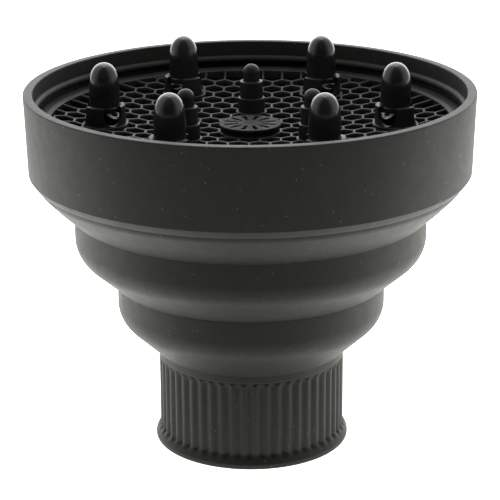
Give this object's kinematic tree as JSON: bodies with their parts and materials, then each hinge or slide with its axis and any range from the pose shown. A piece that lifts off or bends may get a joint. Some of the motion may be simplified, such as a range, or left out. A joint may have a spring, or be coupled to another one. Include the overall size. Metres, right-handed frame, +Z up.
{
  "type": "dryer diffuser",
  "caption": "Collapsible hair-dryer diffuser: a round silicone bowl with a fingered honeycomb grille, on a stepped folding bellows with a ribbed neck.",
  "frame": {"origin": "centre of the neck's foot, on the surface that it stands on", "axes": "+Z up the axis from the foot to the bowl, +X through one of the large fingers"},
  "size_m": [0.15, 0.15, 0.132],
  "materials": {
    "silicone": "matte black silicone",
    "grille_plastic": "satin black plastic",
    "finger_plastic": "gloss black plastic"
  },
  "bodies": {
    "neck": {"neck_sleeve": "silicone"},
    "lower_hoop": {"lower_ring": "silicone", "lower_web": "silicone"},
    "upper_hoop": {"upper_ring": "silicone", "upper_web": "silicone"},
    "bowl": {"collar": "silicone", "shoulder_web": "silicone", "grille_plate": "grille_plastic", "centre_cap": "grille_plastic", "finger_socket_1": "grille_plastic", "finger_socket_2": "grille_plastic", "finger_socket_3": "grille_plastic", "finger_socket_4": "grille_plastic", "finger_socket_5": "grille_plastic", "finger_socket_6": "grille_plastic", "large_finger_1": "finger_plastic", "large_finger_2": "finger_plastic", "large_finger_3": "finger_plastic", "large_finger_4": "finger_plastic", "large_finger_5": "finger_plastic", "large_finger_6": "finger_plastic", "small_finger_1": "finger_plastic", "small_finger_2": "finger_plastic", "small_finger_3": "finger_plastic"}
  },
  "joints": [
    {"name": "lower_fold", "type": "slide", "parent": "neck", "child": "lower_hoop", "axis": [0, 0, -1], "range_m": [0, 0.024], "deforming": ["lower_web"]},
    {"name": "middle_fold", "type": "slide", "parent": "lower_hoop", "child": "upper_hoop", "axis": [0, 0, -1], "range_m": [0, 0.024], "deforming": ["upper_web"]},
    {"name": "upper_fold", "type": "slide", "parent": "upper_hoop", "child": "bowl", "axis": [0, 0, -1], "range_m": [0, 0.024], "deforming": ["shoulder_web"]}
  ]
}
